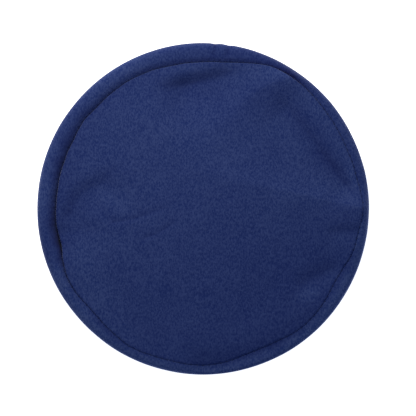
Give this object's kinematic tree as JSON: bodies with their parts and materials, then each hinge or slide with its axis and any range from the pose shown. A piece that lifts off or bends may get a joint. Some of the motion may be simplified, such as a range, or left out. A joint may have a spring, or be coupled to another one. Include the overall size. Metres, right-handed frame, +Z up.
{
  "type": "pakol",
  "caption": "Soft round felted-wool cap: a flat crown disc sewn to a side that is rolled up from its hem into a thick brim, hollow underneath for the head.",
  "frame": {"origin": "on the floor under the middle of the crown", "axes": "+Z up through the crown, the front of the hat towards -Y, the back towards +Y"},
  "size_m": [0.246, 0.246, 0.08],
  "materials": {
    "navy_felt": "brushed matte felt"
  },
  "bodies": {
    "root": {"crown": "navy_felt", "side_band": "navy_felt", "rolled_brim": "navy_felt"}
  },
  "joints": []
}
